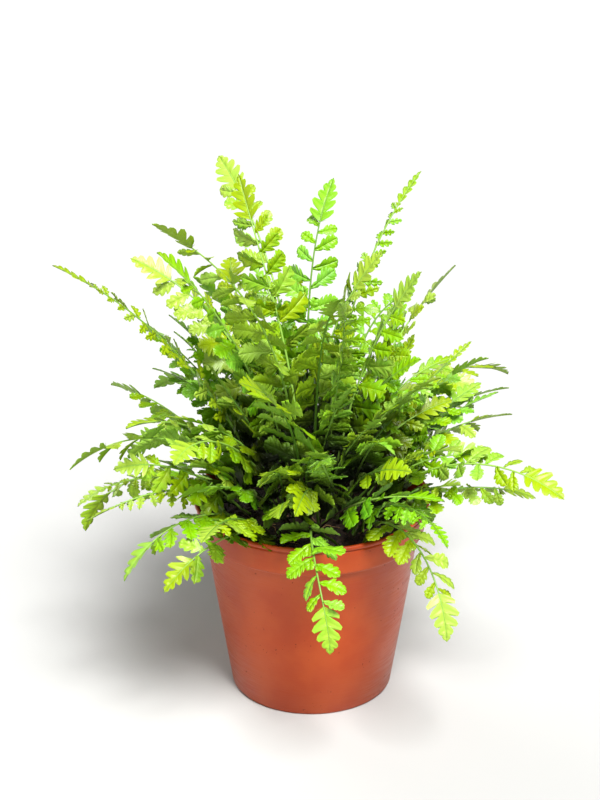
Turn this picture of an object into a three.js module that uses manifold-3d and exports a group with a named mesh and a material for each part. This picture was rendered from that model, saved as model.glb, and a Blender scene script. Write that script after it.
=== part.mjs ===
// A potted fern: a bushy spleenwort with toothed leaflets, in a round terracotta-coloured nursery pot.
// Sizes are in millimetres, with +Z up. The origin is the centre of the pot's foot, where it stands.
import * as THREE from "three";
import { mergeVertices } from "three/addons/utils/BufferGeometryUtils.js";
import Module from "manifold-3d";

const wasm = await Module();
wasm.setup();

// The pot is the common 12 cm size, in thin moulded plastic.
const POT_HEIGHT = 105;
const POT_SIDES = 28;
const LIP_RADIUS = 60;
const BAND_HEIGHT = 17; // the upright band under the lip
const BAND_STEP = 2.6; // how far the band stands out from the wall below it
const BAND_FOOT_RADIUS = 57.4;
const FOOT_RADIUS = 41;
const FOOT_RING_WIDTH = 5;
const FOOT_LIFT = 1.6; // the floor between the foot ring and the middle button is raised this much
const BUTTON_RADIUS = 8;
const WALL = 1.2;
const DRAIN_HOLES = 8;
const DRAIN_RADIUS = 3.5;
const DRAIN_CIRCLE = 25;

// Peat fills the pot to a little below the lip.
const SOIL_LEVEL = POT_HEIGHT - 11;
const SOIL_MOUND = 3; // the peat stands higher in the middle, where the fern grows
const MOUND_RADIUS = 29;
const SOIL_BUMP = 1;
const SOIL_SIDES = 24;
const GAP = 0.35; // between pieces that touch

// Tufts stand in the peat on a sunflower spiral: upright in the middle, leaning and hanging outside.
// A tuft is a grown frond and, where it has room, a young one that forks from its foot, above the peat.
const TUFT_COUNT = 42;
const GOLDEN_ANGLE = Math.PI * (3 - Math.sqrt(5));
const ROOT_SPREAD = 24; // radius that the outermost stem stands at
const ROOT_DEPTH = 5; // how far below the peat's level a stem ends
const ROOT_LEAN = 60; // most that a stem leans where it leaves the peat, in degrees
const STRAIGHT = 20; // length of stem that stays straight, until it is clear of the peat
const FORK_HEIGHT = SOIL_LEVEL + SOIL_MOUND + 3; // where the young frond leaves the stem
const PARTED_HEIGHT = FORK_HEIGHT + 9; // from this height up, the two fronds of a tuft stand apart
const SEED = 6.3;
const ATTEMPTS = 120;
const CLEARANCE = 0.45; // least distance between two fronds
const TRACE_STEPS = 48;

const STEM_WIDTH = 1.9;
const STEM_THICKNESS = 1.7;
const TIP_WIDTH = 1.1; // the rib where the leafy tip begins
const TIP_THICKNESS = 0.9;
const BLADE_THICKNESS = 0.7;
const LEAFLET_FOOT = 2.2; // width of a leaflet where it joins the rib

// Leaflet outlines from the rear of the base, round the tip, to the front of the base.
// x runs along the leaflet and y across it, as shares of its length and width.
const OBOVATE = [[0.4, -0.48], [0.9, -0.3], [0.96, 0.24], [0.36, 0.5]];
const POINTED = [[0.48, -0.5], [1, 0], [0.42, 0.5]];
const LOBED = [[0.34, -0.52], [0.6, -0.22], [1, -0.06], [0.56, 0.24], [0.28, 0.55]];

// Teeth of a frond's leafy tip, as (share of the tip's length, half width) from its foot up.
const BROAD_TEETH = [[0.14, 0.6], [0.42, 7.2], [0.58, 4.2], [0.8, 4.4]];
const FINE_TEETH = [[0.14, 0.5], [0.5, 3]];
const YOUNG_TEETH = [[0.12, 0.6], [0.46, 6.6]];

// Each kind of frond. The topmost leaflets are a share of the largest ones.
const KINDS = {
  broad: { outline: OBOVATE, leaflet: 22, aspect: 0.7, spacing: 23, topmost: 0.55, tip: 24 },
  cut: { outline: LOBED, leaflet: 23, aspect: 0.74, spacing: 25, topmost: 0.55, tip: 24 },
  fine: { outline: POINTED, leaflet: 15, aspect: 0.6, spacing: 19, topmost: 0.45, tip: 22 },
};

// The ways that a frond grows. Each pair of numbers is for the middle of the plant and for its edge.
const FORMS = {
  arching: { length: [172, 132], leanRoot: [3, 46], leanTip: [46, 132], stalk: [0.42, 0.24], leaf: 1 },
  tall: { length: [206, 176], leanRoot: [3, 34], leanTip: [42, 96], stalk: [0.5, 0.36], leaf: 1 },
  low: { length: [104, 92], leanRoot: [14, 56], leanTip: [60, 128], stalk: [0.24, 0.2], leaf: 0.9 },
  hanging: { length: [124, 116], leanRoot: [50, 56], leanTip: [156, 166], stalk: [0.26, 0.2], leaf: 1 },
  young: { length: [112, 92], leanRoot: [12, 44], leanTip: [50, 108], stalk: [0.38, 0.28], leaf: 0.84 },
};
const FINE_LENGTH = 1.16; // feathery fronds are longer than the others
const STAGGER = 0.2; // how far a leaflet stands off the middle of its share of the rib

const GREEN = { broad: 0x6fae35, cut: 0x84bf3c, fine: 0x5d9a31 };

const degrees = THREE.MathUtils.degToRad;
const { lerp, smoothstep } = THREE.MathUtils;
const fraction = (x) => x - Math.floor(x);

// A repeatable draw from 0 to 1, for one frond, one attempt at placing it, and one purpose.
function draw(frond, attempt, purpose) {
  return fraction(Math.sin(frond * 12.9898 + attempt * 78.233 + purpose * 37.719 + SEED) * 43758.5453);
}

// The same, from -1 to 1.
const sway = (frond, attempt, purpose) => 2 * draw(frond, attempt, purpose) - 1;

function solidOf(geometry) {
  const bare = geometry.clone();
  bare.deleteAttribute("normal");
  bare.deleteAttribute("uv");
  const merged = mergeVertices(bare, 1e-4);
  return new wasm.Manifold(
    new wasm.Mesh({
      numProp: 3,
      vertProperties: new Float32Array(merged.attributes.position.array),
      triVerts: new Uint32Array(merged.index.array),
    }),
  );
}

function geometryOf(solid) {
  const mesh = solid.getMesh();
  return new THREE.BufferGeometry()
    .setAttribute("position", new THREE.BufferAttribute(new Float32Array(mesh.vertProperties), 3))
    .setIndex(new THREE.BufferAttribute(new Uint32Array(mesh.triVerts), 1));
}

// A solid turned about Z from (radius, height) pairs that start and end on the axis.
function turned(profile, sides) {
  const points = profile.map(([r, z]) => new THREE.Vector2(r, z));
  return new THREE.LatheGeometry(points, sides).rotateX(Math.PI / 2);
}

// The radius of the pot's outer wall at a height, below the band.
function wallRadius(z) {
  return lerp(FOOT_RADIUS, BAND_FOOT_RADIUS - BAND_STEP, z / (POT_HEIGHT - BAND_HEIGHT));
}

function potSolid() {
  const bandFoot = POT_HEIGHT - BAND_HEIGHT;
  const outside = [
    [0, 0],
    [BUTTON_RADIUS, 0],
    [BUTTON_RADIUS, FOOT_LIFT],
    [FOOT_RADIUS - FOOT_RING_WIDTH, FOOT_LIFT],
    [FOOT_RADIUS - FOOT_RING_WIDTH, 0],
    [FOOT_RADIUS - 1.2, 0],
    [FOOT_RADIUS, 1.4],
    [wallRadius(bandFoot), bandFoot],
    [BAND_FOOT_RADIUS, bandFoot + 0.8],
    [LIP_RADIUS - 1, POT_HEIGHT - 3],
    [LIP_RADIUS - 1.2, POT_HEIGHT - 2],
    [LIP_RADIUS, POT_HEIGHT - 1.2],
    [LIP_RADIUS - 0.6, POT_HEIGHT],
  ];
  const inside = [
    [LIP_RADIUS - 2.2, POT_HEIGHT - 0.4],
    [BAND_FOOT_RADIUS - WALL, bandFoot + 1.4],
    [wallRadius(bandFoot) - WALL, bandFoot - 0.6],
    [FOOT_RADIUS - WALL, FOOT_LIFT + WALL],
    [0, FOOT_LIFT + WALL],
  ];
  let pot = solidOf(turned([...outside, ...inside], POT_SIDES));
  for (let i = 0; i < DRAIN_HOLES; i++) {
    const angle = (i / DRAIN_HOLES) * 2 * Math.PI;
    const drill = new THREE.CylinderGeometry(DRAIN_RADIUS, DRAIN_RADIUS, 10, 8).rotateX(Math.PI / 2);
    drill.translate(DRAIN_CIRCLE * Math.cos(angle), DRAIN_CIRCLE * Math.sin(angle), FOOT_LIFT);
    pot = pot.subtract(solidOf(drill));
  }
  return pot;
}

// Bumps of the peat's surface.
function soilBump(x, y) {
  const broad = Math.sin(0.23 * x + 1.3 * Math.cos(0.19 * y));
  const narrow = Math.sin(0.41 * y + 0.31 * x + 2);
  return SOIL_BUMP * (0.6 * broad + 0.4 * narrow);
}

function soilSolid() {
  const corner = Math.cos(Math.PI / POT_SIDES); // the pot's flats stand nearer the axis than its corners
  const floor = FOOT_LIFT + WALL + GAP;
  const bandFoot = POT_HEIGHT - BAND_HEIGHT;
  const edge = (BAND_FOOT_RADIUS - WALL) * corner - GAP;
  const body = turned(
    [
      [0, floor],
      [(wallRadius(floor) - WALL) * corner - GAP - 0.3, floor],
      [(wallRadius(bandFoot) - WALL) * corner - GAP, bandFoot - 0.4],
      [edge, bandFoot + 1.7],
      [edge, SOIL_LEVEL],
      [0.84 * edge, SOIL_LEVEL],
      [MOUND_RADIUS, SOIL_LEVEL + SOIL_MOUND],
      [0, SOIL_LEVEL + SOIL_MOUND],
    ],
    SOIL_SIDES,
  );
  const at = body.attributes.position;
  for (let i = 0; i < at.count; i++) {
    if (Math.abs(at.getZ(i) - SOIL_LEVEL) > 0.01) continue;
    at.setZ(i, at.getZ(i) + soilBump(at.getX(i), at.getY(i)));
  }
  return solidOf(body);
}

// The kind of leaflet that a tuft has, and the way that its grown frond grows.
function kindOf(tuft) {
  if (tuft % 7 === 3) return "fine";
  return tuft % 4 === 1 ? "cut" : "broad";
}

function formOf(tuft, rank) {
  if (rank > 0.6 && tuft % 3 === 0) return "hanging";
  if (rank > 0.26 && [1, 3].includes(tuft % 5)) return "low";
  return rank < 0.5 && tuft % 6 === 1 ? "tall" : "arching";
}

// How one frond grows: where it starts, which way it leans, and how it is made up.
// A young frond starts from the fork in its tuft's stem, and the others start under the peat.
function frondPlan(tuft, attempt, fork = null) {
  const young = Boolean(fork);
  const index = young ? tuft + TUFT_COUNT : tuft;
  const rank = (tuft + 0.5) / TUFT_COUNT; // 0 at the middle of the plant, 1 at its edge
  const freedom = 1 + attempt / 80; // a frond that finds no place at first may lean further from its rule
  const growth = 1 - (0.4 * attempt) / ATTEMPTS; // and is smaller
  const vary = (purpose) => sway(index, attempt, purpose);
  const kind = kindOf(tuft);
  const form = FORMS[young ? "young" : formOf(tuft, rank)];
  const between = ([middle, edge], share = rank) => lerp(middle, edge, share);
  const splay = Math.pow(rank, 1.25);
  const rootAngle = tuft * GOLDEN_ANGLE;
  const rootRadius = ROOT_SPREAD * Math.sqrt(rank);
  const leanRoot = between(form.leanRoot, splay) + (young ? 10 : 6) * freedom * vary(2);
  const straight = young ? STRAIGHT / 2 : STRAIGHT;
  const fullLength = between(form.length) * (kind === "fine" ? FINE_LENGTH : 1);
  const length = fullLength * growth * (1 + 0.1 * vary(7));
  return {
    tuft,
    index,
    kind,
    young,
    root: fork ?? new THREE.Vector3(
      rootRadius * Math.cos(rootAngle),
      rootRadius * Math.sin(rootAngle),
      SOIL_LEVEL - ROOT_DEPTH,
    ),
    azimuth: rootAngle + (young ? 1.2 : 0.4) * freedom * vary(1),
    leanRoot: degrees(Math.min(ROOT_LEAN, leanRoot)),
    leanTip: degrees(between(form.leanTip, splay) + 18 * freedom * vary(3)),
    bending: lerp(1.5, 1.1, rank), // above 1, the bend comes late along the frond
    turn: 0.7 * vary(4),
    roll: degrees(55 * vary(5)),
    fold: degrees(10 + 14 * vary(6)),
    length,
    straight,
    stalk: Math.max(between(form.stalk), (straight + LEAFLET_FOOT) / length),
    stemSize: young ? 0.8 : 1,
    leafSize: form.leaf * growth,
  };
}

// Points along the rachis with the frond's own directions there: forward, left and up.
function traceRachis(plan) {
  const at = plan.root.clone();
  const trace = [];
  const straight = plan.straight / plan.length;
  for (let i = 0; i <= TRACE_STEPS; i++) {
    const s = Math.max(0, i / TRACE_STEPS - straight) / (1 - straight);
    const lean = lerp(plan.leanRoot, plan.leanTip, Math.pow(s, plan.bending));
    const heading = plan.azimuth + plan.turn * s * s;
    const forward = new THREE.Vector3(
      Math.sin(lean) * Math.cos(heading),
      Math.sin(lean) * Math.sin(heading),
      Math.cos(lean),
    );
    const roll = plan.roll * smoothstep(s, 0.1, 0.9);
    const level = new THREE.Vector3(-Math.sin(heading), Math.cos(heading), 0);
    const upright = forward.clone().cross(level);
    const left = level.clone().multiplyScalar(Math.cos(roll)).addScaledVector(upright, Math.sin(roll));
    trace.push({ at: at.clone(), forward, left, up: forward.clone().cross(left) });
    at.addScaledVector(forward, plan.length / TRACE_STEPS);
  }
  return trace;
}

// Where the young frond leaves the stem of a grown one.
function forkOf(plan) {
  const share = (FORK_HEIGHT - plan.root.z) / Math.cos(plan.leanRoot) / plan.length;
  return rachisAt(traceRachis(plan), share).at;
}

// The rachis at any share of its length.
function rachisAt(trace, s) {
  const place = THREE.MathUtils.clamp(s, 0, 1) * TRACE_STEPS;
  const i = Math.min(Math.floor(place), TRACE_STEPS - 1);
  const mix = (name) => trace[i][name].clone().lerp(trace[i + 1][name], place - i);
  const direction = (name) => mix(name).normalize();
  return { at: mix("at"), forward: direction("forward"), left: direction("left"), up: direction("up") };
}

// A thin closed sheet of points that each have an upper and a lower vertex. Both faces are split alike.
class Sheet {
  positions = [];
  triangles = [];

  point(at, up, thickness) {
    const upper = at.clone().addScaledVector(up, thickness / 2);
    const lower = at.clone().addScaledVector(up, -thickness / 2);
    const first = this.positions.length / 3;
    this.positions.push(upper.x, upper.y, upper.z, lower.x, lower.y, lower.z);
    return { at, upper: first, lower: first + 1 };
  }

  triangle(a, b, c) {
    this.triangles.push(a.upper, b.upper, c.upper, c.lower, b.lower, a.lower);
  }

  // Four corners, split along the shorter diagonal.
  quad(a, b, c, d) {
    if (a.at.distanceTo(c.at) < b.at.distanceTo(d.at)) {
      this.triangle(a, b, c);
      this.triangle(a, c, d);
    } else {
      this.triangle(a, b, d);
      this.triangle(b, c, d);
    }
  }

  // The side face along an edge of the outline, which has the sheet on its left.
  wall(a, b) {
    this.triangles.push(b.upper, a.upper, a.lower, b.upper, a.lower, b.lower);
  }

  // A blade whose outline runs anticlockwise. Where it joins the rib, from its last point to its first,
  // it is open.
  blade(outline) {
    for (let i = 0; i + 1 < outline.length; i++) this.wall(outline[i], outline[i + 1]);
    for (let a = 0, b = outline.length - 1; b - a >= 2; a++, b--) {
      if (b - a === 2) this.triangle(outline[a], outline[a + 1], outline[b]);
      else this.quad(outline[a], outline[a + 1], outline[b - 1], outline[b]);
    }
  }

  geometry() {
    return new THREE.BufferGeometry()
      .setAttribute("position", new THREE.BufferAttribute(new Float32Array(this.positions), 3))
      .setIndex(this.triangles);
  }
}

// Where the leaflets leave the rib and how large they are, from the lowest pair up.
function leafletPlan(plan) {
  const kind = KINDS[plan.kind];
  const tipStart = 1 - (kind.tip * plan.leafSize) / plan.length;
  const leafy = tipStart - plan.stalk;
  const pairs = Math.max(2, Math.round((leafy * plan.length) / (kind.spacing * plan.leafSize)));
  const sizes = Array.from({ length: pairs }, (_, pair) => {
    const share = (pair + 0.5) / pairs;
    return lerp(1, kind.topmost, Math.pow(share, 1.7)) * (pair === 0 ? 0.88 : 1);
  });
  const whole = sizes.reduce((sum, size) => sum + size);
  let below = 0;
  const leaflets = sizes.map((size) => {
    const room = (leafy * size) / whole; // this pair's share of the rib
    const s = plan.stalk + below + room / 2;
    below += room;
    const angle = degrees(lerp(76, 56, (s - plan.stalk) / leafy));
    const length = kind.leaflet * size * plan.leafSize;
    const width = Math.min(kind.aspect * length, 0.9 * room * plan.length * Math.sin(angle));
    return { s, room, angle, length, width };
  });
  return { leaflets, tipStart };
}

// One leaflet's outer points, in the order of its outline: rear of the base first.
function leafletPoints(sheet, plan, trace, leaflet, side, pair) {
  const kind = KINDS[plan.kind];
  const { at, forward, left, up } = rachisAt(trace, leaflet.s);
  const fold = plan.fold + degrees(7) * sway(plan.index, pair, side > 0 ? 11 : 12);
  const { angle, length, width } = leaflet;
  const outward = left.clone().multiplyScalar(side);
  const flat = forward.clone().multiplyScalar(Math.cos(angle)).addScaledVector(outward, Math.sin(angle));
  const across = forward.clone().multiplyScalar(Math.sin(angle)).addScaledVector(outward, -Math.cos(angle));
  const along = flat.clone().multiplyScalar(Math.cos(fold)).addScaledVector(up, -Math.sin(fold));
  const normal = up.clone().multiplyScalar(Math.cos(fold)).addScaledVector(flat, Math.sin(fold));
  const outline = length < 0.86 * kind.leaflet ? POINTED : kind.outline;
  return outline.map(([x, y]) =>
    sheet.point(
      at.clone().addScaledVector(along, x * length).addScaledVector(across, y * width),
      normal,
      BLADE_THICKNESS,
    ),
  );
}

function tipTeeth(plan) {
  if (plan.kind === "fine") return FINE_TEETH;
  return plan.young ? YOUNG_TEETH : BROAD_TEETH;
}

// A frond as one sheet: the stalk, the rib with its leaflets, and the toothed tip.
function frondGeometry(plan) {
  const trace = traceRachis(plan);
  const { leaflets, tipStart } = leafletPlan(plan);
  const sheet = new Sheet();
  const ribPoint = (s, side, halfWidth, thickness) => {
    const { at, left, up } = rachisAt(trace, s);
    return sheet.point(at.addScaledVector(left, side * halfWidth), up, thickness);
  };
  const ribWidth = (s) => lerp(STEM_WIDTH * plan.stemSize, TIP_WIDTH, s / tipStart) / 2;
  const ribThickness = (s) => lerp(STEM_THICKNESS * plan.stemSize, TIP_THICKNESS, s / tipStart);
  const foot = LEAFLET_FOOT / 2 / plan.length;
  const straight = plan.straight / plan.length;

  // The rib's two edges as rows of points. Leaflets alternate, so the left row runs a little ahead.
  const edges = [-1, 1].map((side) => {
    const edgePoint = (s, along = s) => ribPoint(along, side, ribWidth(s), ribThickness(s));
    const row = [edgePoint(0), edgePoint(straight), edgePoint((straight + plan.stalk) / 2)];
    const bases = leaflets.map(({ s, room }) => {
      const base = s + side * STAGGER * room;
      row.push(edgePoint(s, base - foot), edgePoint(s, base + foot));
      return { base, first: row.length - 2 };
    });
    return { side, row, bases };
  });
  const [right, left] = edges;

  for (const { side, row, bases } of edges) {
    const openings = new Set(bases.map(({ first }) => first));
    for (let i = 0; i + 1 < row.length; i++) {
      if (openings.has(i)) continue;
      if (side < 0) sheet.wall(row[i], row[i + 1]);
      else sheet.wall(row[i + 1], row[i]);
    }
    bases.forEach(({ base, first }, pair) => {
      const outer = leafletPoints(sheet, plan, trace, { ...leaflets[pair], s: base }, side, pair);
      const ring = [row[first], ...outer, row[first + 1]];
      sheet.blade(side < 0 ? ring : ring.reverse());
    });
  }
  for (let i = 0; i + 1 < right.row.length; i++) {
    sheet.quad(right.row[i], right.row[i + 1], left.row[i + 1], left.row[i]);
  }
  sheet.wall(left.row[0], right.row[0]);

  // The tip: teeth that shrink towards the point, as wide and narrow places in turn.
  const tipRow = (side) =>
    tipTeeth(plan).map(([share, width]) => {
      const thickness = lerp(TIP_THICKNESS, BLADE_THICKNESS, share);
      return ribPoint(lerp(tipStart, 1, share + 0.04 * side), side, width * plan.leafSize, thickness);
    });
  const point = rachisAt(trace, 1);
  sheet.blade([
    right.row.at(-1),
    ...tipRow(-1),
    sheet.point(point.at, point.up, BLADE_THICKNESS),
    ...tipRow(1).reverse(),
    left.row.at(-1),
  ]);
  return sheet.geometry();
}

// The plain hole that a stem stands in, along the stem's own direction.
function socketSolid(plan) {
  const { at, forward, left, up } = traceRachis(plan)[0];
  const socket = new THREE.BoxGeometry(STEM_WIDTH + 2 * GAP, STEM_THICKNESS + 2 * GAP, STRAIGHT);
  socket.translate(0, 0, STRAIGHT / 2 - GAP);
  socket.applyMatrix4(new THREE.Matrix4().makeBasis(left, up, forward).setPosition(at));
  return solidOf(socket);
}

function boxesApart(a, b, margin) {
  return [0, 1, 2].some((k) => a.min[k] > b.max[k] + margin || b.min[k] > a.max[k] + margin);
}

// Bends a frond clear of the pot, of the peat's surface and of what is placed already.
// A young one may meet its tuft's stem only near the fork. Without room, there is no frond.
function placeFrond(tuft, placed, peat, stem = null) {
  for (let attempt = 0; attempt < ATTEMPTS; attempt++) {
    const plan = frondPlan(tuft, attempt, stem && forkOf(stem.plan));
    const solid = solidOf(frondGeometry(plan));
    const box = solid.boundingBox();
    const parted = solid.trimByPlane([0, 0, 1], PARTED_HEIGHT);
    const crossed = placed.some((other) => {
      if (boxesApart(box, other.box, CLEARANCE)) return false;
      return (other === stem ? parted : solid).minGap(other.solid, CLEARANCE) < CLEARANCE;
    });
    if (crossed) continue;
    const bare = stem ? solid : solid.subtract(socketSolid(plan));
    if (bare.minGap(peat, GAP) >= GAP) return { plan, solid, box };
  }
  return null;
}

// Grows the tufts from the middle outward.
function growTufts(pot, peat) {
  const placed = [{ solid: pot, box: pot.boundingBox() }];
  const tufts = [];
  for (let tuft = 0; tuft < TUFT_COUNT; tuft++) {
    const grown = placeFrond(tuft, placed, peat);
    if (!grown) continue;
    placed.push(grown);
    const young = placeFrond(tuft, placed, peat, grown);
    if (young) placed.push(young);
    tufts.push({ grown, young });
  }
  return tufts;
}

function meshOf(name, geometry, color, roughness) {
  const mesh = new THREE.Mesh(geometry, new THREE.MeshStandardMaterial({ color, roughness, metalness: 0 }));
  mesh.name = name;
  return mesh;
}

const pot = potSolid();
let soil = soilSolid();
const tufts = growTufts(pot, soil);
for (const { grown } of tufts) soil = soil.subtract(socketSolid(grown.plan));

const fern = new THREE.Group();
fern.add(meshOf("pot", geometryOf(pot), 0xc0603c, 0.42));
fern.add(meshOf("soil", geometryOf(soil), 0x1d1511, 0.95));
for (const { grown, young } of tufts) {
  const { tuft, kind } = grown.plan;
  const solid = young ? grown.solid.add(young.solid) : grown.solid;
  const name = `fronds_${String(tuft + 1).padStart(2, "0")}_${kind}`;
  fern.add(meshOf(name, geometryOf(solid), GREEN[kind], 0.5));
}

export default fern;
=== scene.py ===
import functools
import math
import random
from typing import NamedTuple

import bmesh
import bpy
from mathutils import Matrix, Vector, kdtree, noise


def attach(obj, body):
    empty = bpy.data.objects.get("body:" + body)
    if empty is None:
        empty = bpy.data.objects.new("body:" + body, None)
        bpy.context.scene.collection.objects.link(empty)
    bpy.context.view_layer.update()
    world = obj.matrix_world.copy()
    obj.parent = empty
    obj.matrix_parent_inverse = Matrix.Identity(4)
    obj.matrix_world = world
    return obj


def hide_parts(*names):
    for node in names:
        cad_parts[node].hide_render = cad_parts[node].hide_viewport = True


bl_info = {
    "name": "Potted fern",
    "version": (1, 0, 0),
    "blender": (4, 5, 0),
    "location": "View3D > Sidebar > Fern",
    "description": "Dresses the solid potted fern: moulded pot, peat, leafy fronds and a plain studio",
    "category": "Object",
}

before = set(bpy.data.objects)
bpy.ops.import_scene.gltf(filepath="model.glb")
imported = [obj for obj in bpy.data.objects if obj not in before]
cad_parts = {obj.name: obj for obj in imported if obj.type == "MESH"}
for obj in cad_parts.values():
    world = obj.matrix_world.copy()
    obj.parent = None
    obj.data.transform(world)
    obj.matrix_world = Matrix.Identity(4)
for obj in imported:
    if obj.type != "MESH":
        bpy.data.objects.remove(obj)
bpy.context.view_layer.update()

# Shapes are worked out in millimetres and scaled to metres when a piece is finished.
MM = 0.001

# The pot, as the solid one is made.
POT_HEIGHT = 105.0
LIP_RADIUS = 60.0
BAND_FOOT = 88.0
BAND_FOOT_RADIUS = 57.4
WALL_TOP_RADIUS = 54.8
FOOT_RADIUS = 41.0
FOOT_LIFT = 1.6
BUTTON_RADIUS = 8.0
FOOT_RING_WIDTH = 5.0
WALL = 1.2
DRAIN_HOLES = 8
DRAIN_RADIUS = 3.5
DRAIN_CIRCLE = 25.0
# The rounded foot of the band, and the lip from its groove over the top to its inner edge, as
# (outwards, up) from the band's foot and from the lip's outer edge.
BAND_PROFILE = ((-1.2, 0.0), (-0.4, 0.5), (0.0, 1.4), (0.2, 2.6))
LIP_GROOVE = ((-1.0, -3.8), (-1.5, -3.3), (-1.6, -2.6), (-0.4, -2.2), (0.0, -1.5))
LIP_TOP = ((-0.1, -0.6), (-0.6, -0.1), (-1.2, 0.0), (-1.8, -0.2), (-2.2, -0.7))

# The peat's surface.
SOIL_LEVEL = 94.0
SOIL_MOUND = 3.0
MOUND_RADIUS = 29.0
SOIL_EDGE = 55.4
GAP = 0.35
SOIL_RINGS = 27
SOIL_SIDES = 120

# How the fronds grow, as the solid ones do.
TUFT_COUNT = 42
GOLDEN_ANGLE = math.pi * (3.0 - math.sqrt(5.0))
ROOT_SPREAD = 24.0
ROOT_DEPTH = 5.0
ROOT_LEAN = 60.0
STRAIGHT = 20.0
FORK_HEIGHT = SOIL_LEVEL + SOIL_MOUND + 3.0
ATTEMPTS = 120
SEED = 6.3
# How near to a corner of its solid a frond's point ends.
POINT_REACH = 0.5
RIB_STEPS = 48
FINE_LENGTH = 1.16
STAGGER = 0.2
LEAFLET_FOOT = 2.2
STEM_WIDTH, STEM_THICKNESS = 1.6, 1.5
TIP_WIDTH, TIP_THICKNESS = 0.8, 0.7
# Where the small leaflets low on the stalk start, as a share of the solid frond's bare stalk.
LOW_LEAFLETS = 0.72
# Half the width of a leaflet at its foot in millimetres, and of a lobe as a share of its width.
LEAFLET_NECK = 0.4
LOBE_NECK = 0.05
# A leaflet above this share of its kind's length has all its teeth.
FULL_TEETH = 0.66
# A leaflet above this share of its frond's largest is parted, or has one lobe or two.
PARTED_SIZE, LOBED_SIZE, TWO_LOBED_SIZE = 0.68, 0.74, 0.86

# How finely the stalks and the dry fibres are made, and where a stalk ends on its rib.
STALK_STEPS, STALK_SIDES, STALK_END = 34, 8, 0.985
FIBRE_STEPS, FIBRE_SIDES = 6, 5
# Where the draws of scene.py's own details start.
FROND_SEED, PEAT_SEED = 100, 7

# The bush as half an ellipsoid, for how deep inside it a leaf stands, which sets the painted shade in its
# colour.
BUSH_FOOT = 95.0
BUSH_RADIUS = 125.0
BUSH_HEIGHT = 160.0

# The studio, in metres. Each light has a name, a place that it shines from, and its strength and
# spread as shares of the key light's.
LIGHTS = (
    ("key_light", (0.25, -0.65, 1.15), 1.0, 1.0),
    ("back_light", (-0.7, 0.9, 0.9), 0.16, 1.0),
    ("front_light", (-0.3, -1.0, 0.4), 0.1, 2.0),
)
FLOOR_RADIUS = 8.0
VIEW_TARGET = (-0.006, 0.0, 0.158)
# The height of the camera's sensor in millimetres.
SENSOR = 36.0


def linear(colour):
    """An sRGB hex colour, such as "6FAE35", as linear red, green and blue."""
    channels = [int(colour[i : i + 2], 16) / 255 for i in (0, 2, 4)]
    return tuple(c / 12.92 if c <= 0.04045 else ((c + 0.055) / 1.055) ** 2.4 for c in channels)


def lerp(a, b, share):
    return a + (b - a) * share


def smoothstep(x, low, high):
    share = min(max((x - low) / (high - low), 0.0), 1.0)
    return share * share * (3.0 - 2.0 * share)


class BladeShape(NamedTuple):
    """The outline of a leaflet or of a frond's leafy tip.

    teeth is how many stand on each side, and cut how deep the notches are at the foot and near the
    point. Each tooth is a row of (place in the tooth, fullness). belly and blunt shape the foot and
    the point, slant is how far the side veins lean forward, bare is the share without teeth, and
    aspect is the width as a share of the length.
    """

    teeth: int
    cut: tuple
    tooth: tuple
    belly: float
    blunt: float
    slant: float
    bare: float
    aspect: float

    def margin(self, t):
        """A point of the uncut margin, as shares of the blade's length and width."""
        fullest = self.belly / (self.belly + self.blunt)
        widest = fullest**self.belly * (1.0 - fullest) ** self.blunt
        x = 1.0 - (1.0 - t) ** 1.6
        return x, 0.5 * x**self.belly * max(1.0 - x, 0.0) ** self.blunt / widest

    def rungs(self):
        """Side veins from the foot to the point, as (teeth passed, place on the margin, reach)."""
        last = 0.9
        made = [(-1.0, 0.0, 1.0), (-0.4, 0.55 * self.bare, 1.0)]
        for number in range(self.teeth):
            depth = lerp(*self.cut, number / max(self.teeth - 1, 1))
            for phase, fullness in self.tooth:
                place = lerp(self.bare, last, (number + phase) / self.teeth)
                made.append((number + phase, place, 1.0 - depth * (1.0 - fullness)))
        made.append((self.teeth, last, 1.0 - self.cut[1]))
        made.append((self.teeth + 0.45, lerp(last, 1.0, 0.55), 1.0))
        made.append((self.teeth + 1.0, 1.0, 1.0))
        return made


ROUND_TOOTH = ((0.0, 0.0), (0.3, 0.95), (0.78, 1.0))
ROUND_LOBE = ((0.0, 0.0), (0.18, 0.72), (0.45, 1.04), (0.8, 0.92))
FINGER = ((0.0, 0.0), (0.26, 0.8), (0.58, 1.0), (0.84, 0.62))

# Leaflets and tips of each kind of frond. Small leaflets near the tip have a plainer shape.
LEAFLETS = {
    "broad": BladeShape(4, (0.54, 0.22), ROUND_TOOTH, 1.3, 0.55, 0.6, 0.28, 0.6),
    "cut": BladeShape(3, (0.68, 0.5), FINGER, 0.95, 0.6, 0.75, 0.2, 0.66),
    "fine": BladeShape(3, (0.8, 0.6), FINGER, 0.8, 0.75, 0.6, 0.14, 0.5),
}
SMALL_LEAFLETS = {
    "broad": BladeShape(3, (0.42, 0.22), ROUND_TOOTH, 1.15, 0.55, 0.55, 0.26, 0.6),
    "cut": BladeShape(3, (0.6, 0.4), FINGER, 0.9, 0.65, 0.7, 0.18, 0.66),
    "fine": BladeShape(3, (0.75, 0.55), FINGER, 0.8, 0.75, 0.6, 0.14, 0.5),
}
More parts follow.
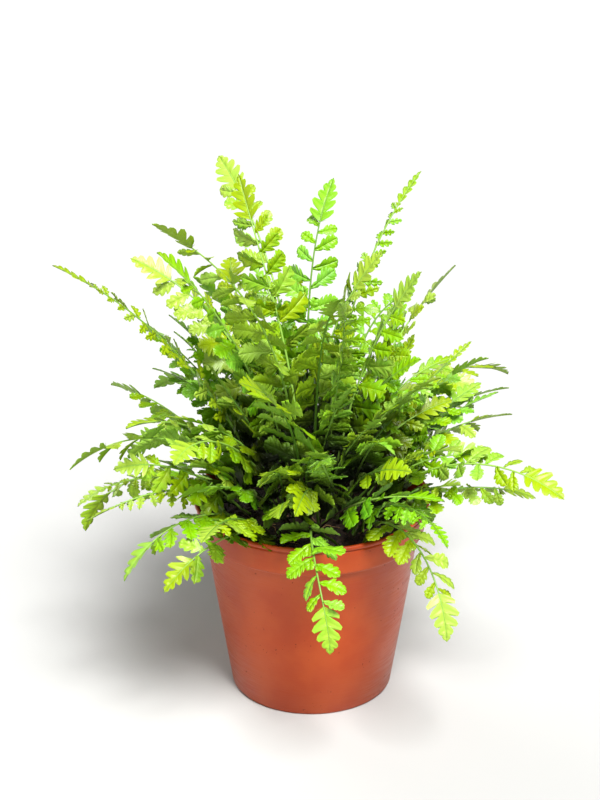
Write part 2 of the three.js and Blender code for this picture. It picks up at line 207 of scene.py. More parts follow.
# The end of a parted leaflet, beyond its round lobes.
PARTED_LEAFLETS = {
    "broad": BladeShape(3, (0.42, 0.22), ROUND_TOOTH, 2.0, 0.5, 0.6, 0.46, 0.6),
    "cut": BladeShape(3, (0.6, 0.4), FINGER, 1.7, 0.55, 0.7, 0.42, 0.66),
}
LOBE = BladeShape(2, (0.2, 0.16), ROUND_TOOTH, 0.7, 0.42, 0.4, 0.34, 0.8)
TIPS = {
    "broad": BladeShape(5, (0.84, 0.3), ROUND_LOBE, 0.42, 0.85, 0.6, 0.06, 0.55),
    "cut": BladeShape(5, (0.86, 0.45), FINGER, 0.42, 0.85, 0.75, 0.06, 0.55),
    "fine": BladeShape(5, (0.85, 0.5), FINGER, 0.5, 0.8, 0.6, 0.1, 0.3),
}


class FrondKind(NamedTuple):
    """The sizes of one kind of frond: its leaflets, their spacing and its leafy tip.

    Lengths are in millimetres. aspect is a leaflet's width as a share of its length, and topmost
    the length of the last leaflet as a share of the largest one's.
    """

    leaflet: float
    aspect: float
    spacing: float
    topmost: float
    tip: float
    tip_width: float


KINDS = {
    "broad": FrondKind(21.5, 0.6, 12.0, 0.5, 24.0, 15.0),
    "cut": FrondKind(24.0, 0.66, 12.4, 0.5, 24.0, 15.5),
    "fine": FrondKind(16.0, 0.54, 7.6, 0.4, 22.0, 8.0),
}


class FrondForm(NamedTuple):
    """A way that a frond grows. Each pair is for the middle of the plant and for its edge.

    Lengths are in millimetres, leans in degrees from upright, and stalk is the share without
    leaflets.
    """

    length: tuple
    lean_root: tuple
    lean_tip: tuple
    stalk: tuple
    leaf_size: float


FORMS = {
    "arching": FrondForm((172.0, 132.0), (3.0, 46.0), (46.0, 132.0), (0.42, 0.24), 1.0),
    "tall": FrondForm((206.0, 176.0), (3.0, 34.0), (42.0, 96.0), (0.5, 0.36), 1.0),
    "low": FrondForm((104.0, 92.0), (14.0, 56.0), (60.0, 128.0), (0.24, 0.2), 0.9),
    "hanging": FrondForm((124.0, 116.0), (50.0, 56.0), (156.0, 166.0), (0.26, 0.2), 1.0),
    "young": FrondForm((112.0, 92.0), (12.0, 44.0), (50.0, 108.0), (0.38, 0.28), 0.84),
}


def kind_of(tuft):
    return "fine" if tuft % 7 == 3 else "cut" if tuft % 4 == 1 else "broad"


class Frond:
    """Where one frond stands, how its rib arches and where its leaflets leave it.

    A grown frond starts under the peat, and its tuft's young one from the grown one's stem.
    """

    def __init__(self, tuft, attempt, stem=None):
        young = stem is not None
        self.index = tuft + TUFT_COUNT if young else tuft
        rank = (tuft + 0.5) / TUFT_COUNT
        freedom = 1.0 + attempt / 80.0
        growth = 1.0 - 0.4 * attempt / ATTEMPTS
        vary = [self.sway(attempt, purpose) for purpose in range(8)]
        self.kind = kind_of(tuft)
        form = FORMS["young" if young else self.form_at(tuft, rank)]
        splay = rank**1.25
        lean_root = lerp(*form.lean_root, splay) + (10.0 if young else 6.0) * freedom * vary[2]
        root_angle = tuft * GOLDEN_ANGLE
        root_radius = ROOT_SPREAD * math.sqrt(rank)
        self.azimuth = root_angle + (1.2 if young else 0.4) * freedom * vary[1]
        self.lean_root = math.radians(min(ROOT_LEAN, lean_root))
        self.lean_tip = math.radians(lerp(*form.lean_tip, splay) + 18.0 * freedom * vary[3])
        self.bending = lerp(1.5, 1.1, rank)
        self.turn = 0.7 * vary[4]
        self.roll = math.radians(55.0 * vary[5])
        self.fold = math.radians(10.0 + 14.0 * vary[6])
        self.length = lerp(*form.length, rank) * growth * (1.0 + 0.1 * vary[7])
        self.length *= FINE_LENGTH if self.kind == "fine" else 1.0
        self.straight = STRAIGHT / 2 if young else STRAIGHT
        least = (self.straight + LEAFLET_FOOT) / self.length
        # The small leaflets low on the stalk are only made here.
        self.bare = max(LOW_LEAFLETS * lerp(*form.stalk, rank), least)
        self.stem_size = 0.8 if young else 1.0
        self.leaf_size = form.leaf_size * growth
        # Some fronds carry many small leaflets and others fewer large ones.
        self.coarseness = 0.92 + 0.13 * self.sway(attempt, 8)
        self.tip_start = 1.0 - KINDS[self.kind].tip * self.leaf_size / self.length
        foot = (root_radius * math.cos(root_angle), root_radius * math.sin(root_angle))
        self.root = stem.fork() if young else Vector((*foot, SOIL_LEVEL - ROOT_DEPTH))
        self.rib = self.trace_rib()

    @staticmethod
    def form_at(tuft, rank):
        if rank > 0.6 and tuft % 3 == 0:
            return "hanging"
        if rank > 0.26 and tuft % 5 in (1, 3):
            return "low"
        return "tall" if rank < 0.5 and tuft % 6 == 1 else "arching"

    def fork(self):
        """Where the tuft's young frond leaves this one's stem."""
        rise = FORK_HEIGHT - self.root.z
        return self.at(rise / math.cos(self.lean_root) / self.length)[0]

    def sway(self, attempt, purpose):
        """A repeatable draw from -1 to 1."""
        wave = math.sin(self.index * 12.9898 + attempt * 78.233 + purpose * 37.719 + SEED)
        drawn = wave * 43758.5453
        return 2.0 * (drawn - math.floor(drawn)) - 1.0

    def trace_rib(self):
        """Stations along the rib: its place and its forward, left and up directions."""
        at = self.root.copy()
        stations = []
        straight = self.straight / self.length
        for i in range(RIB_STEPS + 1):
            s = max(0.0, i / RIB_STEPS - straight) / (1.0 - straight)
            lean = lerp(self.lean_root, self.lean_tip, s**self.bending)
            heading = self.azimuth + self.turn * s * s
            out = Vector((math.cos(heading), math.sin(heading), 0.0))
            level = Vector((-out.y, out.x, 0.0))
            forward = math.sin(lean) * out + Vector((0.0, 0.0, math.cos(lean)))
            roll = self.roll * smoothstep(s, 0.1, 0.9)
            left = math.cos(roll) * level + math.sin(roll) * forward.cross(level)
            stations.append((at.copy(), forward, left, forward.cross(left)))
            at += forward * (self.length / RIB_STEPS)
        return stations

    def at(self, s):
        """The rib's place and directions at a share of its length."""
        place = min(max(s, 0.0), 1.0) * RIB_STEPS
        i = min(int(place), RIB_STEPS - 1)
        here, ahead = self.rib[i], self.rib[i + 1]
        mixed = [a.lerp(b, place - i) for a, b in zip(here, ahead)]
        return mixed[0], *(direction.normalized() for direction in mixed[1:])

    def leaflets(self):
        """Each leaflet's side, place, angle, length, width, fold and share of the largest one."""
        kind = KINDS[self.kind]
        leafy = self.tip_start - self.bare
        leaf_size = self.leaf_size * self.coarseness
        pairs = max(3, round(leafy * self.length / (kind.spacing * leaf_size)))
        sizes = [
            lerp(1.0, kind.topmost, share**1.5) * lerp(0.74, 1.0, smoothstep(share, 0.0, 0.3))
            for share in ((pair + 0.5) / pairs for pair in range(pairs))
        ]
        rooms = [lerp(size, 1.0, 0.35) for size in sizes]
        below = 0.0
        for pair, size in enumerate(sizes):
            room = leafy * rooms[pair] / sum(rooms)
            s = self.bare + below + room / 2
            below += room
            angle = math.radians(lerp(76.0, 56.0, (s - self.bare) / leafy))
            length = kind.leaflet * size * leaf_size
            width = min(kind.aspect * length, 1.35 * room * self.length * math.sin(angle))
            for side in (-1, 1):
                vary = [self.sway(pair, purpose + (side < 0)) for purpose in (11, 13, 15)]
                fold = self.fold + math.radians(17.0) * vary[0]
                swing = math.radians(13.0) * vary[1]
                full = 1.0 + 0.12 * vary[2]
                place = s + side * STAGGER * room
                yield side, place, angle + swing, length * full, width * full, fold, size


def find_frond(tuft, corners, stem=None):
    """A tuft's frond at the first draw that ends at a corner of its solid."""
    for attempt in range(ATTEMPTS):
        frond = Frond(tuft, attempt, stem)
        if corners.find(frond.rib[-1][0])[2] < POINT_REACH:
            return frond
    raise RuntimeError(f"no draw of tuft {tuft + 1} follows its solid")


def solid_corners(node):
    """The corners of a solid in millimetres, to be looked up by place."""
    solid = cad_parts[node]
    corners = kdtree.KDTree(len(solid.data.vertices))
    for vert in solid.data.vertices:
        corners.insert(solid.matrix_world @ vert.co / MM, vert.index)
    corners.balance()
    return corners


def turn_profile(bm, profile, sides):
    """Turns (radius, height) points about the upright axis into a closed skin."""
    verts = [bm.verts.new((radius, 0.0, height)) for radius, height in profile]
    edges = [bm.edges.new(pair) for pair in zip(verts, verts[1:])]
    turn = {"cent": (0.0, 0.0, 0.0), "axis": (0.0, 0.0, 1.0), "angle": math.tau}
    bmesh.ops.spin(bm, geom=verts + edges, steps=sides, use_merge=True, **turn)
    bmesh.ops.remove_doubles(bm, verts=bm.verts, dist=1e-3)
    bmesh.ops.recalc_face_normals(bm, faces=bm.faces)


def only(made, kind):
    return [item for item in made if isinstance(item, kind)]


def sweep_tube(bm, stations, sides, material):
    """A closed round tube through stations of (place, half width, half thickness)."""
    matrices = []
    for at, across, through in stations:
        along = across.cross(through).normalized()
        matrix = Matrix((across, through, along)).transposed().to_4x4()
        matrix.translation = at
        matrices.append(matrix)
    ring = bmesh.ops.create_circle(bm, cap_ends=True, segments=sides, radius=1.0)["verts"]
    faces = set(ring[0].link_faces)
    bmesh.ops.transform(bm, matrix=matrices[0], verts=ring)
    edges = list(dict.fromkeys(edge for vert in ring for edge in vert.link_edges))
    for before, after in zip(matrices, matrices[1:]):
        grown = bmesh.ops.extrude_edge_only(bm, edges=edges)["geom"]
        ring = only(grown, bmesh.types.BMVert)
        edges = [edge for edge in only(grown, bmesh.types.BMEdge) if set(edge.verts) <= set(ring)]
        faces.update(only(grown, bmesh.types.BMFace))
        bmesh.ops.transform(bm, matrix=after @ before.inverted(), verts=ring)
    faces.update(bmesh.ops.edgeloop_fill(bm, edges=edges)["faces"])
    for face in faces:
        face.material_index = material
        face.smooth = True
    return faces


def add_blade(bm, shape, place, thickness, rng, foot):
    """One leaf blade: an upper and a lower skin that meet at the margin.

    place gives the spot in space of a point on the blade, from its share of the length, its share
    of the width and its tooth number. Returns the faces, and the verts with their vein places.
    """
    rungs = shape.rungs()
    rows = len(rungs) - 1
    upper = bmesh.ops.create_grid(bm, x_segments=rows, y_segments=2, size=0.5)["verts"]
    uneven = {side: [1.0 + rng.uniform(-0.09, 0.07) for _ in range(shape.teeth + 3)] for side in (-1, 1)}
    veins = {}
    for vert in upper:
        number, t, reach = rungs[round((vert.co.x + 0.5) * rows)]
        side = round(vert.co.y * 2)
        x, y = shape.margin(t)
        root = max(0.0, x - shape.slant * y * shape.aspect)
        if side:
            reach *= uneven[side][int(number) + 1] if 0 <= number < shape.teeth else 1.0
            x, y = lerp(root, x, reach), max(y * reach, foot if number < 0 else 0.0)
        else:
            x, y = root, 0.0
        vert.co = place(min(x, 1.0), side * y, number)
        veins[vert] = (number, abs(side))
    skin = list(dict.fromkeys(face for vert in upper for face in vert.link_faces))
    doubled = bmesh.ops.duplicate(bm, geom=skin)
    under_skin = only(doubled["geom"], bmesh.types.BMFace)
    for vert in upper:
        twin = doubled["vert_map"][vert]
        veins[twin] = veins[vert]
        if not twin.is_boundary:
            twin.co -= thickness
    bmesh.ops.reverse_faces(bm, faces=under_skin)
    return skin, under_skin, veins


def finished(name, bm, materials):
    """The built shape as an object at the origin, in metres."""
    bmesh.ops.scale(bm, vec=(MM, MM, MM), verts=bm.verts)
    mesh = bpy.data.meshes.new(name)
    bm.to_mesh(mesh)
    bm.free()
    for material in materials:
        mesh.materials.append(material)
    piece = bpy.data.objects.new(name, mesh)
    bpy.context.scene.collection.objects.link(piece)
    return piece


def crease(bm, angle):
    """Shades the skin smoothly, apart from edges that turn by more than an angle in degrees."""
    for face in bm.faces:
        face.smooth = True
    for edge in bm.edges:
        edge.smooth = len(edge.link_faces) != 2 or edge.calc_face_angle() < math.radians(angle)


# Every range here eases in and out, and every mix is one of colours.
USUAL = {
    "MapRange": {"interpolation_type": "SMOOTHSTEP"},
    "Mix": {"data_type": "RGBA", "clamp_result": True},
}


def add_node(tree, kind, inputs=(), **settings):
    """Adds a shader node with its settings, values and links.

    inputs holds values, or the nodes or outputs that feed them: a dict by name, or a list in the
    order in which the node shows its inputs. A node stands for the first output that it shows.
    """
    made = tree.nodes.new(f"ShaderNode{kind}")
    for name, value in {**USUAL.get(kind, {}), **settings}.items():
        setattr(made, name, value)
    sockets = [socket for socket in made.inputs if socket.enabled]
    if isinstance(inputs, dict):
        sockets = [made.inputs[name] for name in inputs]
        inputs = inputs.values()
    for socket, value in zip(sockets, inputs):
        if isinstance(value, bpy.types.Node):
            value = next(output for output in value.outputs if output.enabled)
        if isinstance(value, bpy.types.NodeSocket):
            tree.links.new(value, socket)
        else:
            socket.default_value = (*value, 1.0) if socket.type == "RGBA" else value
    return made


def build_material(name, surface, settings=None):
    """A material whose surface is built by one of the functions below."""
    material = bpy.data.materials.new(name)
    material.use_nodes = True
    material.node_tree.nodes.clear()
    add = functools.partial(add_node, material.node_tree)
    where = add("TexCoord").outputs["Object"]
    add("OutputMaterial", [surface(add, where, settings)])
    return material


def patches(where, millimetres, detail=3.0, roughness=0.55):
    """What a noise needs so that its patches are about so many millimetres across."""
    return {"Vector": where, "Scale": 1000.0 / millimetres, "Detail": detail, "Roughness": roughness}


def spots(add, where, millimetres, low, high, **grain):
    """Patches of noise above a level, with an eased edge from low to high."""
    return add("MapRange", [add("TexNoise", patches(where, millimetres, **grain)), low, high])


def leaf_surface(add, where, settings):
    """Living leaflet with a waxy skin.

    It gives the eye fresh yellow-green in young leaflets and deeper green in old ones, pale veins
    that run to the teeth, a thin bright margin, a dull pale underside, and light through the blade.
    Leaves deep inside the bush get painted shade: their colour is darkened and made more saturated.
    """
    vein = add("Attribute", attribute_name="vein").outputs["Vector"]
    growth = add("Attribute", attribute_name="growth").outputs["Vector"]
    teeth, outward, under = add("SeparateXYZ", [vein]).outputs
    tone, age, _ = add("SeparateXYZ", [growth]).outputs

    # Blotches about 5 mm across, and cell texture about 0.5 mm across.
    blotch = add("TexNoise", patches(where, 5.0))
    cells = add("TexNoise", patches(where, 0.5, detail=1.0))
    passed = add("Math", [teeth], operation="FRACT")
    beside = add("Math", [passed, 0.56], operation="SUBTRACT")
    off_vein = add("Math", [beside], operation="ABSOLUTE")
    side_vein = add("MapRange", [off_vein, 0.16, 0.03])
    midrib = add("MapRange", [outward, 0.14, 0.04])
    fainter = add("Math", [side_vein, 0.55], operation="MULTIPLY")
    veins = add("Math", [midrib, fainter], operation="MAXIMUM")
    margin = add("MapRange", [outward, 0.86, 1.0])

    # Painted shade: leaves deep inside the bush, where little light reaches, have their colour darkened
    # towards inner_shade at the core.
    wide, tall = 1.0 / (BUSH_RADIUS * MM), 1.0 / (BUSH_HEIGHT * MM)
    foot = (0.0, 0.0, -BUSH_FOOT / BUSH_HEIGHT)
    bush = add("Mapping", {"Vector": where, "Location": foot, "Scale": (wide, wide, tall)})
    outermost = add("VectorMath", [bush], operation="LENGTH")
    shade = add("MapRange", [outermost, 0.34, 0.63, settings.inner_shade, 1.0])

    blotched = add("MapRange", [blotch, 0.3, 0.7, -0.1, 0.1])
    aged = add("Math", [age, blotched], operation="ADD")
    growing = add("MapRange", [aged, 0.05, 0.5])
    ageing = add("MapRange", [aged, 0.5, 1.0])
    green = add("Mix", [growing, settings.young, settings.grown])
    green = add("Mix", [ageing, green, settings.old])
    pale = add("Mix", [0.55, green, linear("C6E040")])
    for lines, strength in ((veins, 0.22), (margin, 0.35)):
        share = add("Math", [lines, strength], operation="MULTIPLY")
        green = add("Mix", [share, green, pale])
    dull = add("Mix", [0.6, green, settings.underside])
    green = add("Mix", [under, green, dull])
    # The tone varies at random. The painted shade also darkens the Value and raises the Saturation deep
    # inside the bush.
    vivid = add("MapRange", [tone, 0.0, 1.0, 1.08, 0.9])
    shaded_saturation = add("MapRange", [shade, 0.0, 1.0, 1.3, 1.04])
    lighter = add("MapRange", [tone, 0.0, 1.0, 0.92, 1.08])
    varied = {
        "Hue": add("MapRange", [tone, 0.0, 1.0, 0.495, 0.505]),
        "Saturation": add("Math", [vivid, shaded_saturation], operation="MULTIPLY"),
        "Value": add("Math", [shade, lighter], operation="MULTIPLY"),
        "Color": green,
    }
    bright = add("HueSaturation", varied)

    rough = settings.roughness
    gloss = add("MapRange", [blotch, 0.3, 0.7, rough - 0.06, rough + 0.08])
    duller = add("Math", [under, 0.2], operation="MULTIPLY")
    gloss = add("Math", [gloss, duller], operation="ADD")
    # Heights in millimetres. Each half of the blade is domed, and swells between its side veins.
    half_turn = add("Math", [outward, math.pi], operation="MULTIPLY")
    dome = add("Math", [half_turn], operation="SINE")
    between = add("MapRange", [off_vein, 0.0, 0.4])
    relief = add("Math", [between, 0.24], operation="MULTIPLY")
    for form, height in ((dome, 0.7), (veins, -0.16), (cells, 0.05)):
        relief = add("Math", [form, height, relief], operation="MULTIPLY_ADD")
    look = {
        "Base Color": bright,
        "Roughness": gloss,
        "IOR": 1.56,
        "Specular IOR Level": 0.42,
        "Coat Weight": settings.wax,
        "Coat Roughness": 0.22,
        "Normal": add("Bump", {"Strength": 0.7, "Distance": MM, "Height": relief}),
    }
    skin = add("BsdfPrincipled", look)
    through = add("Mix", [0.45, bright, settings.glow_colour])
    light = add("BsdfTranslucent", {"Color": through})
    return add("MixShader", [settings.glow, skin, light])


def stalk_surface(add, where, settings):
    """Fern stalk. It gives the eye a smooth green rib that darkens to near black towards the peat."""
    growth = add("Attribute", attribute_name="growth").outputs["Vector"]
    tone, age, along = add("SeparateXYZ", [growth]).outputs
    # Streaks about 3 mm across, and a grain about 0.8 mm across.
    streak = add("TexNoise", patches(where, 3.0))
    height = add("Math", [along, 0.12], operation="SUBTRACT")
    height = add("Math", [streak, 0.24, height], operation="MULTIPLY_ADD")
    dark_to = add("MapRange", [age, 0.1, 0.9, 0.05, 0.62])
    ripe = add("Math", [height, dark_to], operation="DIVIDE")
    paler = add("MapRange", [tone, 0.0, 1.0])
    green = add("Mix", [paler, settings.stalk, linear("8EB84A")])
    greener = add("MapRange", [ripe, 0.5, 1.1])
    fine = add("TexNoise", patches(where, 0.8))
    look = {
        "Base Color": add("Mix", [greener, settings.old_stalk, green]),
        "Roughness": 0.42,
        "IOR": 1.45,
        "Normal": add("Bump", {"Strength": 0.3, "Distance": 0.2 * MM, "Height": fine}),
    }
    return add("BsdfPrincipled", look)


def pot_surface(add, where, settings):
    """Injection-moulded polypropylene in a terracotta colour.

    It gives the eye a soft satin gloss with fine scuffs, a slightly uneven colour and specks of
    peat.
    """
    # Clouds about 22 mm across. Specks of peat about 1 mm across cling in patches of about 12 mm.
    clouds = spots(add, where, 22.0, 0.3, 0.7)
    colour = add("Mix", [clouds, settings.colour, settings.worn_colour])
    specks = spots(add, where, 1.3, 0.66, 0.72, detail=2.0)
    clinging = spots(add, where, 12.0, 0.5, 0.66, detail=1.0)
    dirt = add("Math", [specks, clinging], operation="MULTIPLY")
    soiled = add("Math", [dirt, 0.75], operation="MULTIPLY")
    # Scuffs: hairlines about 0.5 mm apart that run round the pot.
    stretched = add("Mapping", {"Vector": where, "Scale": (0.08, 0.08, 1.6)})
    scuff = add("TexNoise", patches(stretched, 0.9, detail=4.0))
    smooth, rough = settings.roughness - 0.05, settings.roughness + 0.12
    scuffed = add("MapRange", [scuff, 0.35, 0.7, smooth, rough])
    look = {
        "Base Color": add("Mix", [soiled, colour, linear("2A1710")]),
        "Roughness": add("Math", [dirt, 0.4, scuffed], operation="MULTIPLY_ADD"),
        "IOR": 1.42,
        "Specular IOR Level": 0.4,
        "Normal": add("Bump", {"Strength": 0.18, "Distance": 0.15 * MM, "Height": scuff}),
    }
    return add("BsdfPrincipled", look)


def peat_surface(add, where, settings):
    """Moist peat. It gives the eye a near-black crumb with brown and tan bits and no gloss."""
    # Crumbs about 2 mm across, and tan bits about 1 mm across.
    crumb = add("TexNoise", patches(where, 2.2, detail=5.0, roughness=0.7))
    drier = add("MapRange", [crumb, 0.4, 0.75])
    colour = add("Mix", [drier, settings.colour, settings.dry_colour])
    bits = spots(add, where, 0.9, 0.68, 0.74, detail=2.0)
    tan = add("Math", [bits, 0.6], operation="MULTIPLY")
    look = {
        "Base Color": add("Mix", [tan, colour, linear("8A6A45")]),
        "Roughness": add("MapRange", [crumb, 0.3, 0.8, 0.75, 0.98]),
        "Normal": add("Bump", {"Strength": 0.9, "Distance": MM, "Height": crumb}),
    }
    return add("BsdfPrincipled", look)


def moss_surface(add, where, _):
    """Cushion moss. It gives the eye small velvety spots of yellow-green on the peat."""
    # Shoots about 0.8 mm across.
    shoots = add("TexNoise", patches(where, 0.8, detail=2.0))
    shoot = add("MapRange", [shoots, 0.35, 0.65])
    look = {
        "Base Color": add("Mix", [shoot, linear("2F4A12"), linear("7FA832")]),
        "Roughness": 0.9,
        "Sheen Weight": 0.3,
        "Normal": add("Bump", {"Strength": 1.0, "Distance": 0.6 * MM, "Height": shoots}),
    }
    return add("BsdfPrincipled", look)


def fibre_surface(add, where, _):
    """Dry plant fibre in the peat. It gives the eye thin tan and brown threads."""
    # Streaks about 6 mm across.
    streaks = spots(add, where, 6.0, 0.35, 0.65)
    colour = add("Mix", [streaks, linear("6B4B2C"), linear("B89464")])
    return add("BsdfPrincipled", {"Base Color": colour, "Roughness": 0.8})


def paper_surface(add, _, settings):
    """Matt studio paper. It gives the eye a plain pale ground."""
    return add("BsdfPrincipled", {"Base Color": settings.floor, "Roughness": 0.9})


def colour_setting(name, description, value):
    """A colour, with an sRGB hex colour as its default."""
    kind = {"subtype": "COLOR", "size": 3, "min": 0.0, "max": 1.0, "default": linear(value)}
    return bpy.props.FloatVectorProperty(name=name, description=description, **kind)


def number_setting(name, description, value, **kind):
    """A number. kind gives its unit or subtype and its limits, where it has them."""
    return bpy.props.FloatProperty(name=name, description=description, default=value, **kind)


def count_setting(name, description, value, low, high):
    """A number of things, within limits."""
    return bpy.props.IntProperty(name=name, description=description, min=low, max=high, default=value)


SHARE = {"subtype": "FACTOR", "min": 0.0, "max": 1.0}
DULLNESS = {"subtype": "FACTOR", "min": 0.1, "max": 0.9}
LENGTH = {"unit": "LENGTH"}
ANGLE = {"subtype": "ANGLE"}


class PotSettings(bpy.types.PropertyGroup):
    colour: colour_setting("Colour", "Terracotta colour of the moulded plastic", "A63C10")
    worn_colour: colour_setting("Worn colour", "Colour of the paler clouds in the plastic", "B04818")
    roughness: number_setting("Roughness", "How dull the plastic is", 0.36, **DULLNESS)
    sides: count_setting("Sides", "Flat sides round the pot", 128, 32, 256)


class PeatSettings(bpy.types.PropertyGroup):
    colour: colour_setting("Moist colour", "Colour of the moist peat", "1C120C")
    dry_colour: colour_setting("Dry colour", "Colour of the drier crumbs", "4A3524")
    crumbs: count_setting("Crumbs", "Loose crumbs on the surface", 620, 0, 2000)
    moss: count_setting("Moss", "Spots of moss", 26, 0, 100)
    fibres: count_setting("Fibres", "Dry plant threads on the surface", 46, 0, 200)


class FrondSettings(bpy.types.PropertyGroup):
    young: colour_setting("Young green", "Colour of fresh leaflets", "A6C42A")
    grown: colour_setting("Grown green", "Colour of full-grown leaflets", "88C806")
    old: colour_setting("Old green", "Colour of the oldest leaflets", "52A000")
    underside: colour_setting("Underside", "Pale green of a leaflet's lower skin", "86B41A")
    glow_colour: colour_setting("Glow colour", "Colour of light that comes through leaflets", "AED426")
    inner_shade: number_setting("Inner shade", "Brightness of the innermost leaves", 0.03, **SHARE)
    wax: number_setting("Wax", "Strength of the waxy film on the leaves", 0.24, **SHARE)
    glow: number_setting("Glow", "Share of the light that goes through a leaflet", 0.22, **SHARE)
    roughness: number_setting("Roughness", "How dull the waxy upper skin is", 0.4, **DULLNESS)
    stalk: colour_setting("Stalk", "Green of the ribs", "628E2C")
    old_stalk: colour_setting("Old stalk", "Dark colour of the stalks near the peat", "241A10")
    thickness: number_setting("Blade thickness", "Thickness at the midrib", 0.00055, min=0.0002, **LENGTH)


class StageSettings(bpy.types.PropertyGroup):
    azimuth: number_setting("Azimuth", "Angle that the camera stands at round the pot", 0.0, **ANGLE)
    elevation: number_setting("Elevation", "How far the camera looks down", math.radians(25.0), **ANGLE)
    distance: number_setting("Distance", "From the camera to the middle of the plant", 1.6, **LENGTH)
    view_height: number_setting("View height", "Height that the picture takes in", 0.4, **LENGTH)
    floor: colour_setting("Floor", "Colour of the studio paper", "B6B6B4")
    key: number_setting("Key light", "Strength of the broad light from above", 6.8)
    key_spread: number_setting("Key spread", "Angle that the light fills", math.radians(24.0), **ANGLE)
    sky: number_setting("Surround light", "Strength of the white surround", 0.12)


class FERN_OT_pot(bpy.types.Operator):
    """Make the round moulded pot with its lip, band and drain holes"""

    bl_idname = "fern.pot"
    bl_label = "Make pot"

    def execute(self, context):
        settings = context.scene.fern_pot
        ring = FOOT_RADIUS - FOOT_RING_WIDTH
        foot = [(0.0, 0.0), (BUTTON_RADIUS, 0.0), (BUTTON_RADIUS, FOOT_LIFT), (ring, FOOT_LIFT)]
        profile = [
            *foot,
            (ring, 0.0),
            (FOOT_RADIUS - 1.2, 0.0),
            (FOOT_RADIUS, 1.4),
            (lerp(FOOT_RADIUS, WALL_TOP_RADIUS, 0.5), 0.5 * BAND_FOOT),
            (WALL_TOP_RADIUS, BAND_FOOT + 0.3),
            *((BAND_FOOT_RADIUS + x, BAND_FOOT + z) for x, z in BAND_PROFILE),
            (lerp(BAND_FOOT_RADIUS, LIP_RADIUS - 1.0, 0.55), BAND_FOOT + 8.5),
            *((LIP_RADIUS + x, POT_HEIGHT + z) for x, z in LIP_GROOVE + LIP_TOP),
            (BAND_FOOT_RADIUS - WALL, BAND_FOOT + 1.4),
            (WALL_TOP_RADIUS - WALL, BAND_FOOT - 0.6),
            (FOOT_RADIUS - WALL, FOOT_LIFT + WALL),
            (0.0, FOOT_LIFT + WALL),
        ]
        bm = bmesh.new()
        turn_profile(bm, profile, settings.sides)
        corners = [edge for edge in bm.edges if edge.calc_face_angle() > math.radians(50.0)]
        rounding = {"offset": 0.3, "offset_type": "OFFSET", "segments": 2, "profile": 0.5}
        bmesh.ops.bevel(bm, geom=corners, affect="EDGES", material=-1, clamp_overlap=True, **rounding)
        crease(bm, 40.0)
        plastic = build_material("moulded_polypropylene", pot_surface, settings)
        pot = finished("moulded_pot", bm, [plastic])
        drills = bmesh.new()
        for hole in range(DRAIN_HOLES):
            turned = math.tau * hole / DRAIN_HOLES
            spot = Vector((DRAIN_CIRCLE * math.cos(turned), DRAIN_CIRCLE * math.sin(turned), FOOT_LIFT))
            bore = {"radius1": DRAIN_RADIUS, "radius2": DRAIN_RADIUS, "depth": 10.0}
            bore["matrix"] = Matrix.Translation(spot)
            bmesh.ops.create_cone(drills, cap_ends=True, segments=24, **bore)
        drill = finished("drain_drill", drills, [])
        drilled = pot.modifiers.new("Drain holes", "BOOLEAN")
        drilled.operation = "DIFFERENCE"
        drilled.object = drill
        bored = pot.evaluated_get(context.evaluated_depsgraph_get())
        pot.data = bpy.data.meshes.new_from_object(bored)
        pot.modifiers.clear()
        bpy.data.objects.remove(drill)
        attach(pot, "root")
        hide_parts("pot")
        return {"FINISHED"}


